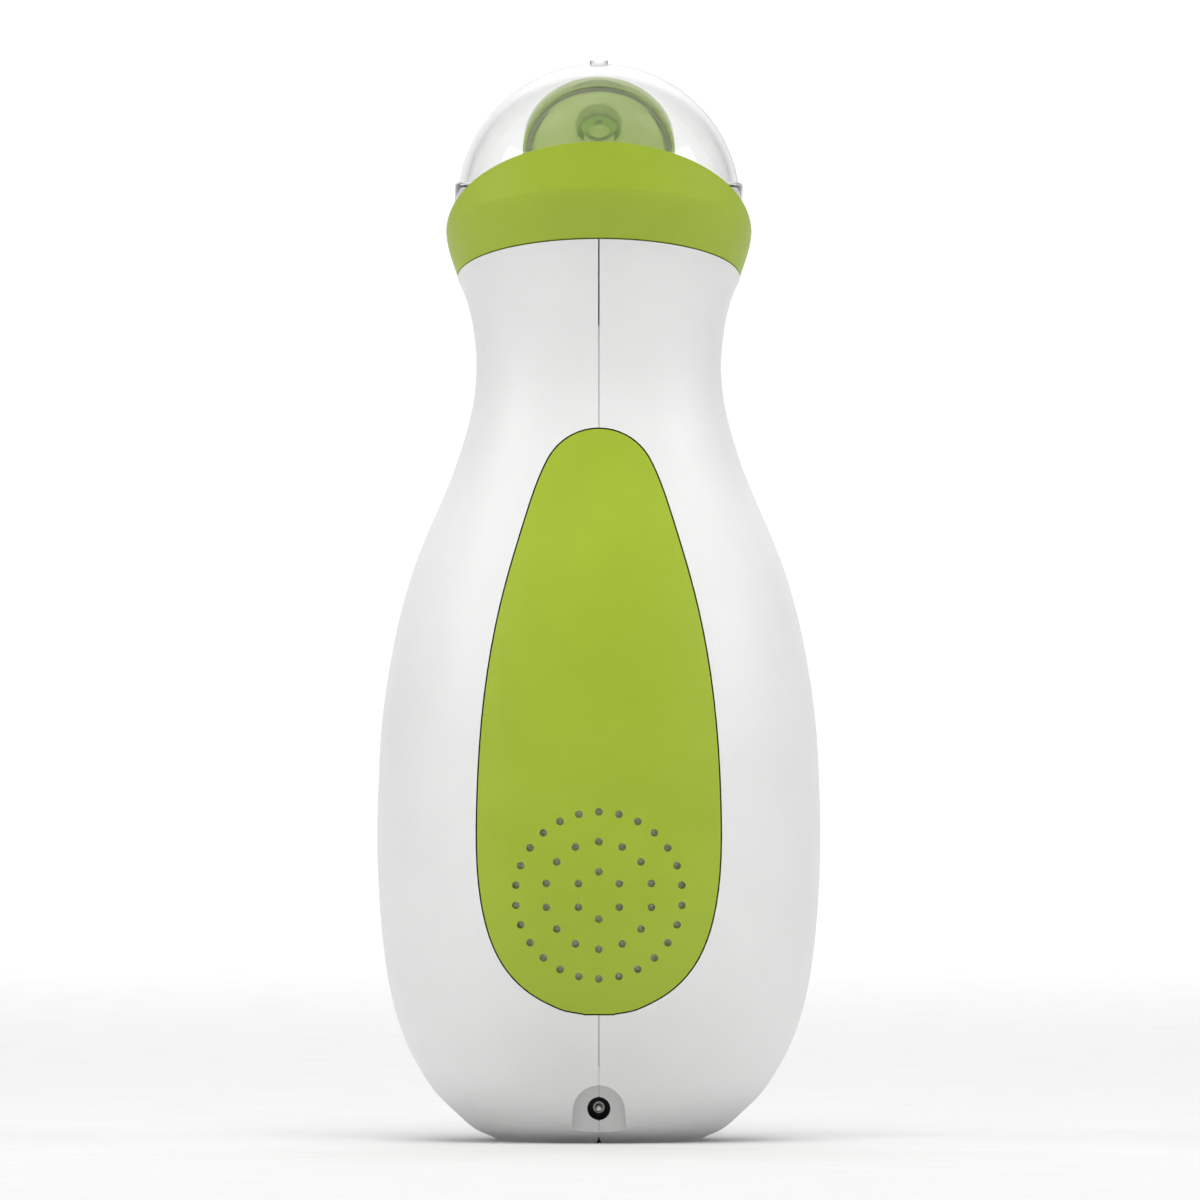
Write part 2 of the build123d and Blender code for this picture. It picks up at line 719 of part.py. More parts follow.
# ---------------------------------------------------------------- pump drive
cam_bottom_z = 47.2
cam_top_z = 52.4
cam = cylinder_z(1.0, pump_y, 4.4, cam_bottom_z, cam_top_z)
cam -= cylinder_z(0, pump_y, shaft_radius, cam_bottom_z - 1, shaft_top_z)
wobble_tilt = radians(wobble_lean)
pin_plane = Plane(
    origin=(0, pump_y, wobble_centre_z),
    x_dir=(0, 1, 0),
    z_dir=(sin(wobble_tilt), 0, -cos(wobble_tilt)),
)
pin_radius = 0.75
slant_pin = pin_plane * Pos(0, 0, 5.7) * extrude(Circle(pin_radius), 6.5)
cam -= slant_pin
save(cam, "eccentric_cam")
save(slant_pin, "slant_pin")

yoke_bottom_z = 55.6
yoke_thickness = 1.8
yoke_bore = 2.7
wobble_yoke = cylinder_z(0, pump_y, 3.9, yoke_bottom_z - 0.6, yoke_bottom_z + 2.9)
arm_angles = [radians(120 * k + 30) for k in range(3)]
arm_spots = [(chamber_circle * cos(angle), chamber_circle * sin(angle)) for angle in arm_angles]
for k in range(3):
    turn = Pos(0, pump_y, 0) * Rot(0, 0, 120 * k + 30) * Pos(0, -pump_y, 0)
    yoke_top_z = yoke_bottom_z + yoke_thickness
    arm = block(3, chamber_circle, pump_y - 2.0, pump_y + 2.0, yoke_bottom_z, yoke_top_z)
    arm += cylinder_z(chamber_circle, pump_y, 2.6, yoke_bottom_z, yoke_bottom_z + yoke_thickness)
    wobble_yoke += turn * arm
wobble_yoke -= cylinder_z(0, pump_y, yoke_bore, 50, yoke_bottom_z + 2.2)
for x, y in arm_spots:
    wobble_yoke -= cylinder_z(x, pump_y + y, 1.5, 50, 70)
save(wobble_yoke, "wobble_yoke")

pump_frame = ring_z(0, pump_y, frame_radius, frame_radius - 1.6, frame_bottom_z, frame_top_z)
pump_frame += ring_z(0, pump_y, frame_radius, 4.8, frame_bottom_z - 0.56, frame_bottom_z + 1.0)
pump_frame -= cylinder_z(0, pump_y, 6.4, frame_bottom_z + 0.2, frame_bottom_z + 2)
for side in (-1, 1):
    pump_frame -= cylinder_z(side * 8.5, pump_y, 1.1, 40, 50)
    motor_can -= cylinder_z(side * 8.5, pump_y, 0.97, 40, 50)
    pump_frame -= block(side * 10, side * 20, pump_y - 3.2, pump_y + 3.2, 49.0, 55.0)


def motor_screw(side):
    """Screw that holds the pump frame on the motor can."""
    head = cylinder_z(side * 8.5, pump_y, 1.7, frame_bottom_z + 1.0, frame_bottom_z + 2.0)
    return head + cylinder_z(side * 8.5, pump_y, 0.95, motor_top_z - 0.9, frame_bottom_z + 1.0)


motor_can_screws = Compound(children=[motor_screw(-1), motor_screw(1)])
save(motor_can_screws, "motor_screws")

membrane_z = frame_top_z
diaphragm = cylinder_z(0, pump_y, frame_radius, membrane_z, membrane_z + 1.0)
cups = []
for x, y in arm_spots:
    cup = cylinder_z(x, pump_y + y, 3.5, membrane_z - 1.6, membrane_z + 1.0)
    cup -= cylinder_z(x, pump_y + y, 2.7, membrane_z - 0.8, membrane_z + 2)
    cups.append(cup)
    cups.append(cylinder_z(x, pump_y + y, 0.8, yoke_bottom_z - 0.9, membrane_z - 1.4))
    cups.append(cylinder_z(x, pump_y + y, 2.0, yoke_bottom_z - 1.8, yoke_bottom_z - 0.8))
    diaphragm -= cylinder_z(x, pump_y + y, 2.7, membrane_z - 0.8, membrane_z + 2)
diaphragm = diaphragm.fuse(*cups)

plate_bottom_z = membrane_z + 1.0
plate_top_z = plate_bottom_z + 4.4
valve_plate = cylinder_z(0, pump_y, frame_radius, plate_bottom_z, plate_top_z)
discs = []
for x, y in arm_spots:
    valve_plate -= cylinder_z(x, pump_y + y, 2.7, plate_bottom_z - 1, plate_bottom_z + 1.6)
    for turn in (-35, 35):
        px = 1.35 * cos(radians(turn)) * x / chamber_circle - 1.35 * sin(radians(turn)) * y / chamber_circle
        py = 1.35 * sin(radians(turn)) * x / chamber_circle + 1.35 * cos(radians(turn)) * y / chamber_circle
        valve_plate -= cylinder_z(x + px, pump_y + y + py, 0.45, plate_bottom_z, plate_top_z + 1)
    discs.append(cylinder_z(x, pump_y + y, 2.5, plate_top_z, plate_top_z + 0.4))
valve_plate -= cylinder_z(0, pump_y, 1.0, plate_bottom_z - 1, plate_top_z + 1)
save(Compound(children=discs), "valve_discs")

pump_head = cylinder_z(0, pump_y, frame_radius, plate_top_z, head_top_z)
pump_head -= ring_z(0, pump_y, 11.2, 4.4, plate_top_z - 1, plate_top_z + 2.6)
pump_head -= cylinder_z(0, pump_y, 3.2, plate_top_z - 1, plate_top_z + 2.6)
pump_head += cylinder_z(suction_spout_x, pump_y, 2.1, head_top_z, head_top_z + 8)
pump_head += cylinder_z(suction_spout_x, pump_y, 2.35, head_top_z + 5.2, head_top_z + 6.4)
pump_head -= cylinder_z(suction_spout_x, pump_y, 1.2, plate_top_z + 1, head_top_z + 9)
exhaust_z = plate_top_z + 4.6
exhaust_axis = Plane(origin=(0, pump_y, exhaust_z), x_dir=(0, 1, 0), z_dir=(1, 0, 0))
pump_head += exhaust_axis * Pos(0, 0, 10) * extrude(Circle(2.1), 8.6)
pump_head += exhaust_axis * Pos(0, 0, 16.6) * extrude(Circle(2.35), 1.2)
pump_head -= exhaust_axis * Pos(0, 0, 1.0) * extrude(Circle(1.2), 20)
pump_head -= cylinder_z(0, pump_y, 1.2, plate_top_z + 1, exhaust_z + 1)

screw_circle = 12.0
screw_angles = [radians(angle) for angle in (90, 210, 330)]
pump_screw_spots = [(screw_circle * cos(angle), screw_circle * sin(angle)) for angle in screw_angles]
screws = []
frame_room = cylinder_z(0, pump_y, frame_radius, 50, frame_top_z)
for x, y in pump_screw_spots:
    hole = cylinder_z(x, pump_y + y, 0.95, 57, head_top_z + 1)
    pump_frame += cylinder_z(x, pump_y + y, 2.2, 50, frame_top_z) & frame_room
    pump_frame -= hole
    diaphragm -= hole
    valve_plate -= hole
    pump_head -= hole
    screw = cylinder_z(x, pump_y + y, 1.6, head_top_z, head_top_z + 1.2)
    screw += cylinder_z(x, pump_y + y, 0.9, 58, head_top_z)
    screws.append(screw)
save(pump_frame, "pump_frame")
save(motor_can, "motor_can")
save(diaphragm, "diaphragms")
save(valve_plate, "valve_plate")
save(pump_head, "pump_head")
save(Compound(children=screws), "pump_screws")

pump_damper = ring_z(0, pump_y, damper_radius, motor_radius + 0.02, motor_bottom_z - 1.5, 42.0)
pump_damper += ring_z(0, pump_y, damper_radius, 9.6, motor_bottom_z - 1.5, motor_bottom_z - 0.02)
save(pump_damper, "pump_damper")

# ---------------------------------------------------------------- hoses
hose_outer = 3.2
hose_inner = 2.1
suction_path = (
    (suction_spout_x, pump_y, head_top_z + 0.6),
    (suction_spout_x, pump_y, 98),
    (0, collar_centre_y, 118),
    (0, collar_centre_y, socket_floor_z - 2.2),
)
suction_hose = rod(suction_path, [18, 18], hose_outer) - rod(suction_path, [18, 18], hose_inner + 0.26)
save(suction_hose, "suction_hose")

exhaust_path = (
    (frame_radius + 0.6, pump_y, exhaust_z),
    (exhaust_spout[0], pump_y, exhaust_z),
    (exhaust_spout[0], pump_y, exhaust_spout[1]),
    (exhaust_spout[0], tray_front_y + 0.6, exhaust_spout[1]),
)
exhaust_hose = rod(exhaust_path, [5, 5], hose_outer) - rod(exhaust_path, [5, 5], hose_inner + 0.26)
save(exhaust_hose, "exhaust_hose")

# ---------------------------------------------------------------- battery tray, cells and contacts
tray_form = hull(4.0)
tray = block(-tray_half_width, tray_half_width, tray_back_y, tray_front_y, 30.5, 103.5)
tray_low_z = tray_floor_z - 1.6
tray_high_z = tray_ceiling_z + 1.6
tray += block(-tray_half_width, tray_half_width, -27.5, tray_back_y, tray_low_z, tray_high_z)
tray -= block(-tray_half_width + 1.0, tray_half_width - 1.0, -40, tray_back_y, tray_floor_z, tray_ceiling_z)
spout_x, spout_z = exhaust_spout
tray += block(tray_half_width - 1, spout_x + 3.6, tray_back_y, tray_front_y, spout_z - 5, spout_z + 5)
tray &= tray_form
tray += cylinder_y(exhaust_spout[0], exhaust_spout[1], 2.1, tray_front_y, -6.0)
tray += cylinder_y(exhaust_spout[0], exhaust_spout[1], 2.35, -8.6, -7.4)
tray -= cylinder_y(exhaust_spout[0], exhaust_spout[1], 1.2, -16, -5)
for x, z in (tray_low_screw, tray_high_screw):
    for side in (-1, 1):
        tray -= cylinder_y(side * x, z, 1.15, -20, -10)


def cell(x, positive_up):
    """One cell with its nub up or down."""
    if positive_up:
        bottom = tray_ceiling_z - contact_thickness - contact_gap - cell_nub[1] - cell_length
        shoulder = bottom + cell_length
        nub = cylinder_z(x, cell_y, cell_nub[0], shoulder - 0.5, shoulder + cell_nub[1])
    else:
        bottom = tray_floor_z + contact_thickness + contact_gap + cell_nub[1]
        nub = cylinder_z(x, cell_y, cell_nub[0], bottom - cell_nub[1], bottom + 0.5)
    can = cylinder_z(x, cell_y, cell_radius, bottom, bottom + cell_length)
    return fillet(can.edges(), 0.5) + nub


save(cell(-cell_x, True), "battery_left")
save(cell(cell_x, False), "battery_right")

spring_height = tray_ceiling_z - tray_floor_z - 2 * (contact_thickness + contact_gap)
spring_height -= cell_nub[1] + cell_length
turns = 3
spring_path = Helix(
    pitch=(spring_height - 2 * spring_wire) / turns,
    height=spring_height - 2 * spring_wire,
    radius=spring_radius,
)
spring_start = Plane(origin=spring_path @ 0, z_dir=spring_path % 0)
spring = sweep(spring_start * Circle(spring_wire), path=spring_path, is_frenet=True)
low_spring = Pos(-cell_x, cell_y, tray_floor_z + contact_thickness + spring_wire) * spring
high_spring = Pos(cell_x, cell_y, tray_ceiling_z - contact_thickness - spring_height + spring_wire) * spring
save(Compound(children=[low_spring, high_spring]), "contact_springs")

tab_y = -19.0
plates = []
for z, tab_end in ((tray_floor_z, -3.2), (tray_ceiling_z - contact_thickness, 3.6)):
    for x in (-cell_x, cell_x):
        plates.append(block(x - 5.5, x + 5.5, cell_y - 4.5, cell_y + 6.5, z, z + contact_thickness))
        middle = z + contact_thickness / 2
        plates[-1] += block(x - 1, x + 1, tab_y - 0.2, tab_y + 0.2, middle, middle + tab_end)
        tray -= block(x - 1.15, x + 1.15, tab_y - 0.35, tab_y + 0.35, middle - 3, middle + 3)
save(tray, "battery_tray")
save(Compound(children=plates), "contact_plates")


def tray_screw(at, reach):
    """Screw through the tray into its boss."""
    x, z = at
    head = cylinder_y(x, z, 2.0, tray_back_y - 1.5, tray_back_y)
    shank = cylinder_y(x, z, 1.02, tray_back_y, reach - 1.4)
    slots = block(x - 1.3, x + 1.3, tray_back_y - 2, tray_back_y - 0.8, z - 0.25, z + 0.25)
    slots += block(x - 0.25, x + 0.25, tray_back_y - 2, tray_back_y - 0.8, z - 1.3, z + 1.3)
    return head + shank - slots


tray_screw_pair = [tray_screw(tray_low_screw, low_boss_y), tray_screw(tray_high_screw, -8.0)]
tray_screws = both_sides(Compound(children=tray_screw_pair))
save(tray_screws, "tray_screws")

# ---------------------------------------------------------------- wires
wire_radius = 0.55
motor_wire_path = (
    (terminal_x, pump_y, 12.5),
    (terminal_x, pump_y, 7.0),
    (2.2, 20.6, 7.0),
    (2.2, 20.6, 88.0),
    (2.2, 22.1, 96.8),
)
save(both_sides(rod(motor_wire_path, [2.5, 2.5, 8], wire_radius)), "motor_wires")

battery_wire_path = (
    (cell_x, tab_y, tray_ceiling_z + 3.5),
    (cell_x, tab_y, 106.5),
    (cell_x + 1.9, 2.0, 108.5),
    (5.0, 14.3, 116.4),
)
save(both_sides(rod(battery_wire_path, [3, 5], wire_radius)), "battery_wires")

dc_wire_path = (
    (2.2, dc_tab_y, 12.0),
    (2.2, dc_tab_y, 17.0),
    (cell_x, tab_y, 27.0),
    (cell_x, tab_y, tray_floor_z - 3.0),
)
save(both_sides(rod(dc_wire_path, [3, 3], wire_radius)), "dc_wires")
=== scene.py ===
"""Looks for the nasal aspirator: materials, small pieces, floor, light and camera.

Everything is in metres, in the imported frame: +Z up, -Y the back with the rear cover and the DC inlet.
"""

import json
import math

import bmesh
import bpy
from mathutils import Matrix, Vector
from mathutils.bvhtree import BVHTree


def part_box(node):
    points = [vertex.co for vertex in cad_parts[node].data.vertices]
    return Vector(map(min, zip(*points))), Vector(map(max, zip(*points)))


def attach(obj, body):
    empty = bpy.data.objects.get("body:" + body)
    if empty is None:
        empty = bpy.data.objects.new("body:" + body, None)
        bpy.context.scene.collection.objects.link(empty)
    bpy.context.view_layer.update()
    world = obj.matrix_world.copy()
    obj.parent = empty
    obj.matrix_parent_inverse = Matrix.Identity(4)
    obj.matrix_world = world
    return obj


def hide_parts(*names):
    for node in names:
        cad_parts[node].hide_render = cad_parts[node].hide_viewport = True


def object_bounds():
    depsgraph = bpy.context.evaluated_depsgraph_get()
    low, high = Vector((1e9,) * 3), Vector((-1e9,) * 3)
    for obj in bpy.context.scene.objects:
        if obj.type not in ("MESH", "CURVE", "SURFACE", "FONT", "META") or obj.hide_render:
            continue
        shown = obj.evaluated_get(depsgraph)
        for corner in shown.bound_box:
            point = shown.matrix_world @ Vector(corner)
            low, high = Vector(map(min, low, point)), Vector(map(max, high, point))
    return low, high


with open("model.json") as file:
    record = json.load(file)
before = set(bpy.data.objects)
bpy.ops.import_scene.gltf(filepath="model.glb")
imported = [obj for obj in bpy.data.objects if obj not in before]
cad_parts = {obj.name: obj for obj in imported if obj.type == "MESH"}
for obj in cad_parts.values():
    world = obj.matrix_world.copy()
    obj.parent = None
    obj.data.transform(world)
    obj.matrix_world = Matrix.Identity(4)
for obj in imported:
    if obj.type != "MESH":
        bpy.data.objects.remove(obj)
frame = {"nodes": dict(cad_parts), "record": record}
cad_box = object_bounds()
nodes = frame["nodes"]
scene = bpy.context.scene

# ---------------------------------------------------------------- shader building blocks


def new_material(name):
    """Empty node material with its output; returns (material, nodes, links, output)."""
    material = bpy.data.materials.new(name)
    material.use_nodes = True
    tree = material.node_tree
    tree.nodes.clear()
    output = tree.nodes.new("ShaderNodeOutputMaterial")
    return material, tree.nodes, tree.links, output


def noise(tree_nodes, links, coords, scale, detail=4.0, roughness=0.55):
    """Noise texture in object coordinates; returns its value socket."""
    node = tree_nodes.new("ShaderNodeTexNoise")
    node.inputs["Scale"].default_value = scale
    node.inputs["Detail"].default_value = detail
    node.inputs["Roughness"].default_value = roughness
    links.new(coords, node.inputs["Vector"])
    return node.outputs["Fac"]


def remap(tree_nodes, links, value, low, high, to_low, to_high):
    """Value mapped from one range to another."""
    node = tree_nodes.new("ShaderNodeMapRange")
    node.inputs["From Min"].default_value = low
    node.inputs["From Max"].default_value = high
    node.inputs["To Min"].default_value = to_low
    node.inputs["To Max"].default_value = to_high
    links.new(value, node.inputs["Value"])
    return node.outputs["Result"]


def two_tone(tree_nodes, links, factor, dark, light):
    """Colour between two tones by a factor."""
    node = tree_nodes.new("ShaderNodeMix")
    node.data_type = "RGBA"
    node.inputs["A"].default_value = (*dark, 1.0)
    node.inputs["B"].default_value = (*light, 1.0)
    links.new(factor, node.inputs["Factor"])
    return node.outputs["Result"]


def bump(tree_nodes, links, height, strength, distance):
    """Bump from a height socket; returns a normal socket."""
    node = tree_nodes.new("ShaderNodeBump")
    node.inputs["Strength"].default_value = strength
    node.inputs["Distance"].default_value = distance
    links.new(height, node.inputs["Height"])
    return node.outputs["Normal"]


FINE_GRAIN = (1500.0, 0.12, 0.00006)  # noise scale, bump strength, bump height
THREAD_GRAIN = (4000.0, 0.4, 0.0001)
FOAM_GRAIN = (1400.0, 1.0, 0.0006)


def surface(name, dark, light, roughness, metallic=0.0, grain=FINE_GRAIN, blotch=60.0, **sockets):
    """Moulded or plated surface: two close tones in soft blotches, uneven sheen and a fine grain."""
    material, tree_nodes, links, output = new_material(name)
    shader = tree_nodes.new("ShaderNodeBsdfPrincipled")
    coords = tree_nodes.new("ShaderNodeTexCoord").outputs["Object"]
    patches = noise(tree_nodes, links, coords, blotch)
    spread = remap(tree_nodes, links, patches, 0.35, 0.65, 0.0, 1.0)
    links.new(two_tone(tree_nodes, links, spread, dark, light), shader.inputs["Base Color"])
    smudge = noise(tree_nodes, links, coords, blotch * 3.1, 6.0, 0.6)
    links.new(remap(tree_nodes, links, smudge, 0.3, 0.7, *roughness), shader.inputs["Roughness"])
    scale, strength, depth = grain
    fine = noise(tree_nodes, links, coords, scale, 2.0, 0.5)
    normal = bump(tree_nodes, links, fine, strength, depth)
    links.new(normal, shader.inputs["Normal"])
    shader.inputs["Metallic"].default_value = metallic
    for socket, value in sockets.items():
        shader.inputs[socket.replace("_", " ")].default_value = value
    links.new(shader.outputs["BSDF"], output.inputs["Surface"])
    return material


# slot: dark tone, light tone, roughness from and to
PLASTICS = {
    "deck_white": ((0.78, 0.78, 0.77), (0.82, 0.82, 0.81), (0.35, 0.45)),
    "button_white": ((0.76, 0.77, 0.75), (0.80, 0.81, 0.79), (0.22, 0.32)),
    "socket_black": ((0.012, 0.012, 0.012), (0.02, 0.02, 0.02), (0.35, 0.5)),
    "chip_black": ((0.015, 0.015, 0.016), (0.028, 0.028, 0.03), (0.4, 0.6)),
    "pump_white": ((0.66, 0.66, 0.63), (0.74, 0.74, 0.71), (0.4, 0.55)),
    "pump_rubber": ((0.018, 0.018, 0.018), (0.035, 0.035, 0.034), (0.55, 0.75)),
    "tray_grey": ((0.48, 0.49, 0.48), (0.56, 0.57, 0.56), (0.4, 0.55)),
    "wire_red": ((0.30, 0.015, 0.012), (0.42, 0.03, 0.022), (0.4, 0.55)),
}
METALS = {
    "contact_metal": ((0.62, 0.61, 0.58), (0.72, 0.71, 0.68), (0.2, 0.38)),
    "bush_brass": ((0.55, 0.36, 0.12), (0.68, 0.47, 0.18), (0.22, 0.4)),
    "screw_steel": ((0.48, 0.48, 0.48), (0.62, 0.62, 0.61), (0.2, 0.35)),
}
MATERIALS = {slot: surface(slot, *tones) for slot, tones in PLASTICS.items()}
MATERIALS.update({slot: surface(slot, *tones, metallic=1.0) for slot, tones in METALS.items()})
MATERIALS["housing_white"] = surface(
    "housing_white", (0.785, 0.785, 0.78), (0.81, 0.81, 0.805), (0.34, 0.42), IOR=1.5
)
MATERIALS["trim_green"] = surface(
    "trim_green", (0.330, 0.450, 0.024), (0.350, 0.475, 0.029), (0.40, 0.50), IOR=1.45
)
MATERIALS["seal_soft"] = surface(
    "seal_soft",
    (0.68, 0.68, 0.66),
    (0.74, 0.74, 0.72),
    (0.45, 0.6),
    Subsurface_Weight=0.2,
    Subsurface_Scale=0.002,
)
MATERIALS["board_green"] = surface(
    "board_green", (0.008, 0.07, 0.022), (0.012, 0.10, 0.032), (0.25, 0.4), blotch=400.0
)
MATERIALS["motor_steel"] = surface(
    "motor_steel", (0.42, 0.42, 0.42), (0.55, 0.55, 0.54), (0.25, 0.45), 1.0, blotch=180.0
)
MATERIALS["magnet_grey"] = surface(
    "magnet_grey", (0.03, 0.03, 0.032), (0.06, 0.06, 0.062), (0.5, 0.7), 0.3
)
MATERIALS["copper_wire"] = surface(
    "copper_wire", (0.42, 0.14, 0.06), (0.62, 0.24, 0.10), (0.25, 0.45), 0.9, THREAD_GRAIN
)
MATERIALS["filter_foam"] = surface(
    "filter_foam", (0.80, 0.82, 0.78), (0.93, 0.94, 0.91), (0.85, 0.98), 0.0, FOAM_GRAIN, 900.0
)
MATERIALS["hose_soft"] = surface(
    "hose_soft",
    (0.58, 0.59, 0.55),
    (0.68, 0.69, 0.65),
    (0.28, 0.42),
    Transmission_Weight=0.35,
    IOR=1.41,
)
MATERIALS["led_clear"] = surface(
    "led_clear", (0.85, 0.86, 0.75), (0.9, 0.9, 0.8), (0.1, 0.2), Transmission_Weight=0.6
)
MATERIALS["light_guide"] = surface(
    "light_guide",
    (0.72, 0.76, 0.72),
    (0.80, 0.83, 0.80),
    (0.3, 0.42),
    Transmission_Weight=0.3,
    IOR=1.49,
)


def absorbing(name, tint, roughness, ior, transmission, absorbed, density, coat=0.0):
    """See-through moulding with faint flow marks and soft scuffs, deeper in colour where it is thick."""
    material, tree_nodes, links, output = new_material(name)
    shader = tree_nodes.new("ShaderNodeBsdfPrincipled")
    coords = tree_nodes.new("ShaderNodeTexCoord").outputs["Object"]
    patches = noise(tree_nodes, links, coords, 45.0, 3.0)
    spread = remap(tree_nodes, links, patches, 0.35, 0.65, 0.0, 1.0)
    dark = tuple(channel * 0.94 for channel in tint)
    links.new(two_tone(tree_nodes, links, spread, dark, tint), shader.inputs["Base Color"])
    scuffs = noise(tree_nodes, links, coords, 260.0, 8.0, 0.7)
    links.new(remap(tree_nodes, links, scuffs, 0.55, 0.8, *roughness), shader.inputs["Roughness"])
    flow = noise(tree_nodes, links, coords, 90.0, 2.0)
    links.new(bump(tree_nodes, links, flow, 0.05, 0.0002), shader.inputs["Normal"])
    shader.inputs["IOR"].default_value = ior
    shader.inputs["Coat Weight"].default_value = coat
    shader.inputs["Transmission Weight"].default_value = transmission
    links.new(shader.outputs["BSDF"], output.inputs["Surface"])
    body = tree_nodes.new("ShaderNodeVolumeAbsorption")
    body.inputs["Color"].default_value = (*absorbed, 1.0)
    body.inputs["Density"].default_value = density
    links.new(body.outputs["Volume"], output.inputs["Volume"])
    return material


MATERIALS["cap_clear"] = absorbing(
    "cap_clear", (0.99, 0.995, 0.99), (0.02, 0.06), 1.46, 1.0, (0.82, 0.84, 0.80), 34.0
)
MATERIALS["head_green"] = absorbing(
    "head_green",
    (0.88, 0.91, 0.70),
    (0.05, 0.12),
    1.12,
    0.86,
    (0.60, 0.79, 0.05),
    300.0,
    coat=0.25,
)


def sleeved_cell(name, low_z, high_z, trim):
    """Dark printed sleeve with bare plated steel at both ends of the upright cell."""
    material = surface(name, (0.06, 0.075, 0.09), (0.09, 0.105, 0.125), (0.2, 0.3))
    tree = material.node_tree
    shader = next(node for node in tree.nodes if node.type == "BSDF_PRINCIPLED")
    sleeve_colour = shader.inputs["Base Color"].links[0].from_socket
    coords = tree.nodes.new("ShaderNodeTexCoord").outputs["Object"]
    split = tree.nodes.new("ShaderNodeSeparateXYZ")
    tree.links.new(coords, split.inputs["Vector"])
    height = split.outputs["Z"]
    edge = trim * 0.95
    above = remap(tree.nodes, tree.links, height, high_z - trim, high_z - edge, 0.0, 1.0)
    below = remap(tree.nodes, tree.links, height, low_z + edge, low_z + trim, 1.0, 0.0)
    bare = tree.nodes.new("ShaderNodeMath")
    bare.operation = "MAXIMUM"
    tree.links.new(above, bare.inputs[0])
    tree.links.new(below, bare.inputs[1])
    paint = tree.nodes.new("ShaderNodeMix")
    paint.data_type = "RGBA"
    paint.inputs["B"].default_value = (*METALS["contact_metal"][0], 1.0)
    tree.links.new(bare.outputs["Value"], paint.inputs["Factor"])
    tree.links.new(sleeve_colour, paint.inputs["A"])
    tree.links.new(paint.outputs["Result"], shader.inputs["Base Color"])
    tree.links.new(bare.outputs["Value"], shader.inputs["Metallic"])
    return material


BARE_END = 0.0016
cell_low, cell_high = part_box("battery_left")
MATERIALS["cell_wrap"] = sleeved_cell("cell_wrap", cell_low[2], cell_high[2], BARE_END)

slot_of = {row["node"]: row["material_slot"] for row in frame["record"]["subparts"]}
for name, obj in nodes.items():
    obj.data.materials.clear()
    obj.data.materials.append(MATERIALS[slot_of[name]])

# The clear dome throws no shadow, so the lamps reach the head and the deck under it.
nodes["cap_dome"].visible_shadow = False

# ---------------------------------------------------------------- pieces made here


def add_piece(name, verts, faces, slot, body, smooth=True):
    """Mesh piece that rides on a body and takes its finish from a record slot."""
    mesh = bpy.data.meshes.new(name)
    mesh.from_pydata(verts, [], faces)
    mesh.validate()
    shape = bmesh.new()
    shape.from_mesh(mesh)
    bmesh.ops.recalc_face_normals(shape, faces=shape.faces)
    shape.to_mesh(mesh)
    shape.free()
    for polygon in mesh.polygons:
        polygon.use_smooth = smooth
    mesh.materials.append(MATERIALS[slot])
    obj = bpy.data.objects.new(name, mesh)
    scene.collection.objects.link(obj)
    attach(obj, body)
    return obj


BAR_SIDES = 10
BAR_END_RINGS = 4
BAR_FLATNESS = 0.5


def swept_ring(centre, across, up, radius, thickness, start, stop, steps):
    """Flattened round bar along an arc in the plane of two unit vectors, with rounded ends."""
    out = across.cross(up)
    verts = []
    rings = []
    sides = BAR_SIDES
    ends = BAR_END_RINGS
    path = []
    end_reach = math.copysign(thickness / radius, stop - start)
    for k in range(ends):
        shrink = math.sin(math.pi / 2 * (k + 0.15) / ends)
        path.append((start - end_reach * (1 - k / ends), shrink))
    for k in range(steps + 1):
        path.append((start + (stop - start) * k / steps, 1.0))
    for k in range(ends):
        shrink = math.cos(math.pi / 2 * (k + 0.85) / ends)
        path.append((stop + end_reach * (k + 1) / ends, shrink))
    for angle, shrink in path:
        spoke = across * math.cos(angle) + up * math.sin(angle)
        ring = []
        for side in range(sides):
            turn = 2 * math.pi * side / sides
            offset = spoke * math.cos(turn) + out * math.sin(turn) * BAR_FLATNESS
            ring.append(len(verts))
            verts.append(centre + spoke * radius + offset * thickness * shrink)
        rings.append(ring)
    faces = []
    for first, second in zip(rings, rings[1:]):
        for side in range(sides):
            after = (side + 1) % sides
            faces.append((first[side], first[after], second[after], second[side]))
    faces.append(tuple(rings[0]))
    faces.append(tuple(reversed(rings[-1])))
    return verts, faces


# Power mark: an open ring and a short bar, laid on the crowned face of the button.
BUTTON_LEAN = math.radians(22.0)
MARK_RADIUS = 0.0024
MARK_BAR = 0.00022
MARK_GAP = math.radians(35)
ARC_STEPS = 48
BAR_BEND = 0.05
BAR_STEPS = 8
RAY_START = 0.01  # how far outside the button the rays start

button_axis = Vector((0.0, math.cos(BUTTON_LEAN), math.sin(BUTTON_LEAN)))
button_up = Vector((0.0, -math.sin(BUTTON_LEAN), math.cos(BUTTON_LEAN)))
button_across = Vector((1.0, 0.0, 0.0))
button = nodes["power_button"]
button_points = [button.matrix_world @ vertex.co for vertex in button.data.vertices]
button_faces = [tuple(face.vertices) for face in button.data.polygons]
button_skin = BVHTree.FromPolygons(button_points, button_faces)
up_reach = [point.dot(button_up) for point in button_points]
out_reach = max(point.dot(button_axis) for point in button_points)
mark_centre = button_up * (min(up_reach) + max(up_reach)) / 2 + button_axis * out_reach


def laid_on_button(verts):
    """Points moved along the button's axis from the flat mark onto the button's crowned face."""
    laid = []
    for point in verts:
        height = (point - mark_centre).dot(button_axis)
        foot = point - button_axis * height
        hit = button_skin.ray_cast(foot + button_axis * RAY_START, -button_axis)[0]
        laid.append(hit + button_axis * height)
    return laid


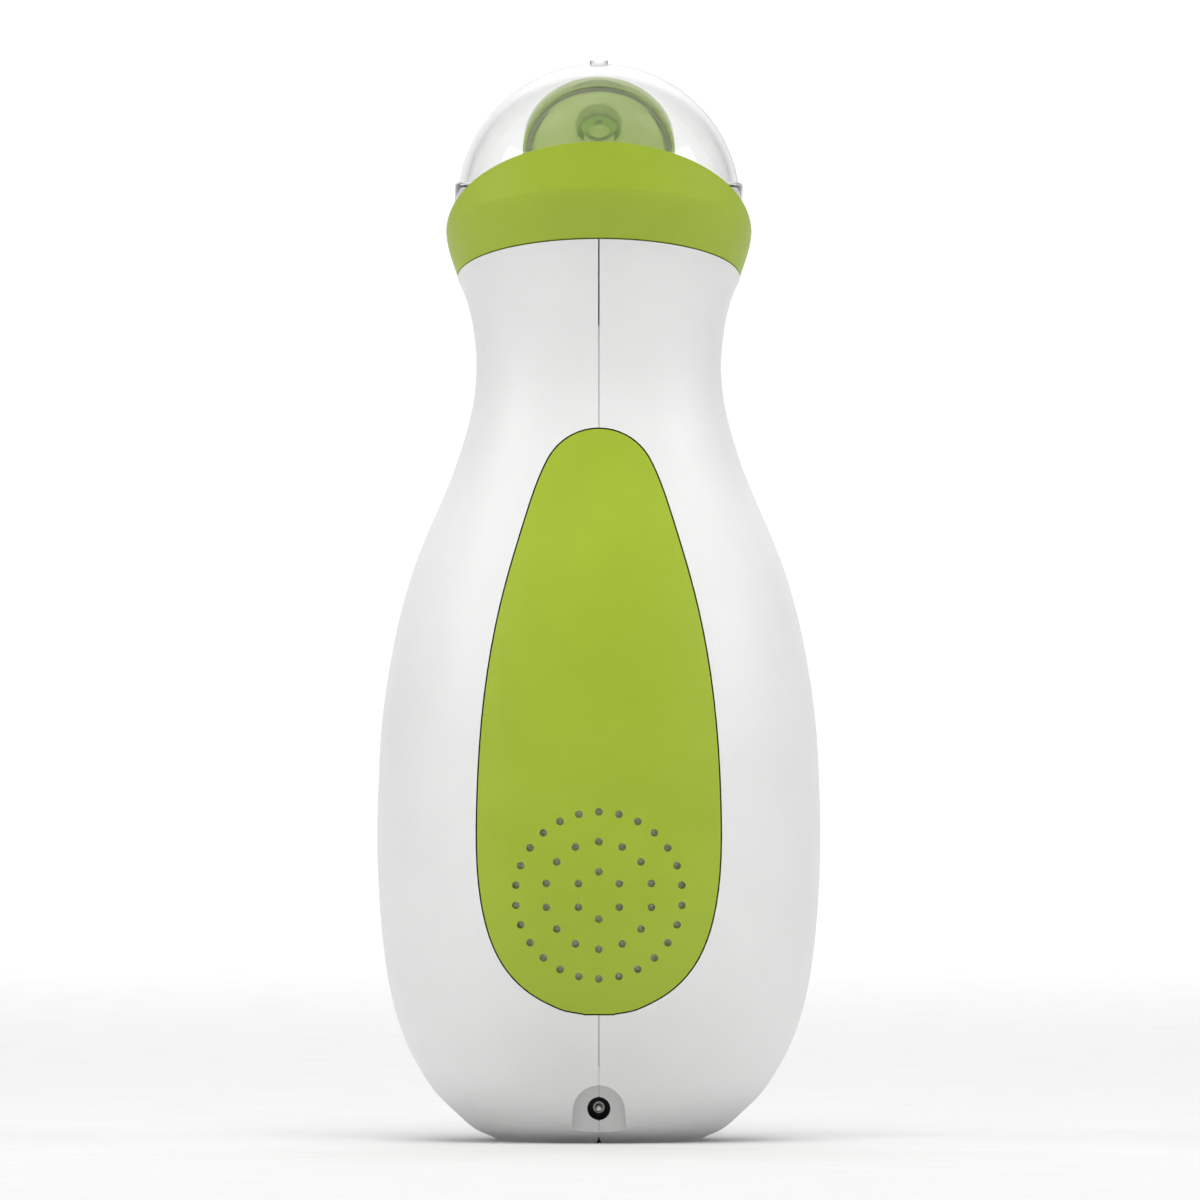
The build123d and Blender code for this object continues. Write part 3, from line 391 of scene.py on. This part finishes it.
arc_verts, arc_faces = swept_ring(
    mark_centre,
    button_across,
    button_up,
    MARK_RADIUS,
    MARK_BAR,
    math.radians(90) + MARK_GAP,
    math.radians(450) - MARK_GAP,
    ARC_STEPS,
)
add_piece("power_mark_arc", laid_on_button(arc_verts), arc_faces, "trim_green", "button")
bar_pivot = mark_centre + button_up * MARK_RADIUS * 0.95 - button_across * BAR_BEND
bar_reach = MARK_RADIUS / 2 / BAR_BEND
bar_verts, bar_faces = swept_ring(
    bar_pivot, button_across, button_up, BAR_BEND, MARK_BAR, -bar_reach, bar_reach, BAR_STEPS
)
add_piece("power_mark_bar", laid_on_button(bar_verts), bar_faces, "trim_green", "button")


# Filler in the seam below and above the DC inlet: the picture shows no seam in the pocket.
FILL_HALF_WIDTH = 0.0001
FILL_DEPTH = 0.0012
FILL_PROUD_GAP = 0.00003
FILL_TOP = 0.0135
FILL_FOOT = 0.0011
FILL_STEPS = 24
JACK_MARGIN = 0.0021
OUTSIDE_Y = -0.1

shell = nodes["left_shell"]
shell_points = [shell.matrix_world @ vertex.co for vertex in shell.data.vertices]
shell_faces = [tuple(face.vertices) for face in shell.data.polygons]
shell_skin = BVHTree.FromPolygons(shell_points, shell_faces)
jack_low, jack_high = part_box("dc_pin")
jack_z = (jack_low[2] + jack_high[2]) / 2


def seam_filler(name, foot_z, top_z):
    """Thin strip in the seam that follows the back of the housing between two heights."""
    verts = []
    beside_seam = -4 * FILL_HALF_WIDTH
    inward = Vector((0.0, 1.0, 0.0))
    for step in range(FILL_STEPS + 1):
        z = foot_z + (top_z - foot_z) * step / FILL_STEPS
        hit = shell_skin.ray_cast(Vector((beside_seam, OUTSIDE_Y, z)), inward)[0]
        outer = hit.y + FILL_PROUD_GAP
        for x in (-FILL_HALF_WIDTH, FILL_HALF_WIDTH):
            for y in (outer, outer + FILL_DEPTH):
                verts.append(Vector((x, y, z)))
    faces = []
    for step in range(FILL_STEPS):
        first, second = 4 * step, 4 * step + 4
        for a, b in ((0, 2), (2, 3), (3, 1), (1, 0)):
            faces.append((first + a, first + b, second + b, second + a))
    faces.append((0, 1, 3, 2))
    last = 4 * FILL_STEPS
    faces.append((last, last + 2, last + 3, last + 1))
    return add_piece(name, verts, faces, "housing_white", "housing", smooth=False)


seam_filler("seam_filler_low", FILL_FOOT, jack_z - JACK_MARGIN)
seam_filler("seam_filler_high", jack_z + JACK_MARGIN, FILL_TOP)


FOAM_VOXEL = 0.0004
FOAM_SOFTENING = 0.5
FOAM_SOFTENING_TURNS = 4
PORE_SIZE = 0.0009
PORE_DEPTH = 0.00018


def foam_disc(node, name, body):
    """Foam filter with a rolled edge and open cells, following the curved CAD disc it replaces."""
    source = nodes[node]
    copy = source.data.copy()
    copy.transform(source.matrix_world)
    obj = bpy.data.objects.new(name, copy)
    scene.collection.objects.link(obj)
    remesh = obj.modifiers.new("even_mesh", "REMESH")
    remesh.mode = "VOXEL"
    remesh.voxel_size = FOAM_VOXEL
    soften = obj.modifiers.new("rolled_edge", "SMOOTH")
    soften.factor = FOAM_SOFTENING
    soften.iterations = FOAM_SOFTENING_TURNS
    pores = bpy.data.textures.new("foam_pores", "CLOUDS")
    pores.noise_scale = PORE_SIZE
    pores.noise_depth = 1
    rough = obj.modifiers.new("open_cells", "DISPLACE")
    rough.texture = pores
    rough.strength = PORE_DEPTH
    rough.mid_level = 1.0
    copy.materials.clear()
    copy.materials.append(MATERIALS["filter_foam"])
    for polygon in copy.polygons:
        polygon.use_smooth = True
    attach(obj, body)
    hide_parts(node)


foam_disc("vent_filter", "vent_foam", "cover")

# ---------------------------------------------------------------- floor, light and camera
low, high = (Vector(corner) for corner in cad_box)
floor_z = low.z

SWEEP_HALF_WIDTH = 7.0
SWEEP_FRONT = -5.0
SWEEP_BACK = 3.7
SWEEP_BEND = 1.4
SWEEP_TOP = 6.0
SWEEP_BEND_STEPS = 12
PAPER_GRAIN = (300.0, 0.05, 0.0002)


def stage_sweep():
    """Floor that curves up far behind the device into a pale wall."""
    mesh = bpy.data.meshes.new("studio_sweep")
    profile = [(SWEEP_FRONT, 0.0)]
    for step in range(SWEEP_BEND_STEPS + 1):
        angle = math.radians(90 * step / SWEEP_BEND_STEPS)
        along = SWEEP_BACK + SWEEP_BEND * math.sin(angle)
        profile.append((along, SWEEP_BEND * (1 - math.cos(angle))))
    profile.append((SWEEP_BACK + SWEEP_BEND, SWEEP_TOP))
    sides = (-SWEEP_HALF_WIDTH, SWEEP_HALF_WIDTH)
    verts = [(x, y, floor_z + z) for y, z in profile for x in sides]
    faces = [(2 * i, 2 * i + 1, 2 * i + 3, 2 * i + 2) for i in range(len(profile) - 1)]
    mesh.from_pydata(verts, [], faces)
    for polygon in mesh.polygons:
        polygon.use_smooth = True
    obj = bpy.data.objects.new("studio_sweep", mesh)
    scene.collection.objects.link(obj)
    return obj


sweep = stage_sweep()
paper = surface(
    "studio_paper", (0.72, 0.72, 0.72), (0.74, 0.74, 0.74), (0.8, 0.95), grain=PAPER_GRAIN
)
sweep.data.materials.append(paper)


def studio_air(backdrop, ambient):
    """White air: as bright as the backdrop to the eye, softer as a light."""
    world = bpy.data.worlds.new("studio_air")
    world.use_nodes = True
    tree = world.node_tree
    tree.nodes.clear()
    seen = tree.nodes.new("ShaderNodeBackground")
    seen.inputs["Strength"].default_value = backdrop
    lit = tree.nodes.new("ShaderNodeBackground")
    lit.inputs["Strength"].default_value = ambient
    for node in (seen, lit):
        node.inputs["Color"].default_value = (1.0, 1.0, 1.0, 1.0)
    path = tree.nodes.new("ShaderNodeLightPath")
    mix = tree.nodes.new("ShaderNodeMixShader")
    output = tree.nodes.new("ShaderNodeOutputWorld")
    tree.links.new(path.outputs["Is Camera Ray"], mix.inputs["Fac"])
    tree.links.new(lit.outputs["Background"], mix.inputs[1])
    tree.links.new(seen.outputs["Background"], mix.inputs[2])
    tree.links.new(mix.outputs["Shader"], output.inputs["Surface"])
    return world


scene.world = studio_air(backdrop=0.94, ambient=0.42)


def area_light(name, place, target, size, power, mirrored=True):
    """Soft square light aimed at a point; without `mirrored`, gloss and clear parts don't show it."""
    data = bpy.data.lights.new(name, "AREA")
    data.shape = "SQUARE"
    data.size = size
    data.energy = power
    obj = bpy.data.objects.new(name, data)
    scene.collection.objects.link(obj)
    obj.location = place
    obj.rotation_euler = (Vector(target) - Vector(place)).to_track_quat("-Z", "Y").to_euler()
    obj.visible_glossy = mirrored
    obj.visible_transmission = mirrored


middle = (low + high) / 2
area_light("key_light", (0.0, -0.6, 1.35), middle, 0.9, 13.5, mirrored=False)
area_light("left_light", (-1.2, -0.2, 0.6), middle, 0.7, 3.4)
area_light("right_light", (1.2, -0.2, 0.6), middle, 0.7, 3.2)
area_light("wall_light", (0.0, 2.1, 3.7), (0.0, 5.1, 1.2), 2.8, 190.0, mirrored=False)

LENS = 600.0  # long, as the picture shows almost no perspective
SENSOR = 36.0
FRAME_WIDTH = 0.2082
FRAME_CENTRE_X = 0.0002
FRAME_CENTRE_Z = 0.0937
camera_data = bpy.data.cameras.new("camera")
camera_data.lens = LENS
camera_data.sensor_width = SENSOR
camera = bpy.data.objects.new("camera", camera_data)
scene.collection.objects.link(camera)
camera_distance = FRAME_WIDTH * LENS / SENSOR
camera.location = (FRAME_CENTRE_X, -camera_distance, floor_z + FRAME_CENTRE_Z)
camera.rotation_euler = (math.radians(90), 0.0, 0.0)
scene.camera = camera
scene.view_settings.view_transform = "Standard"
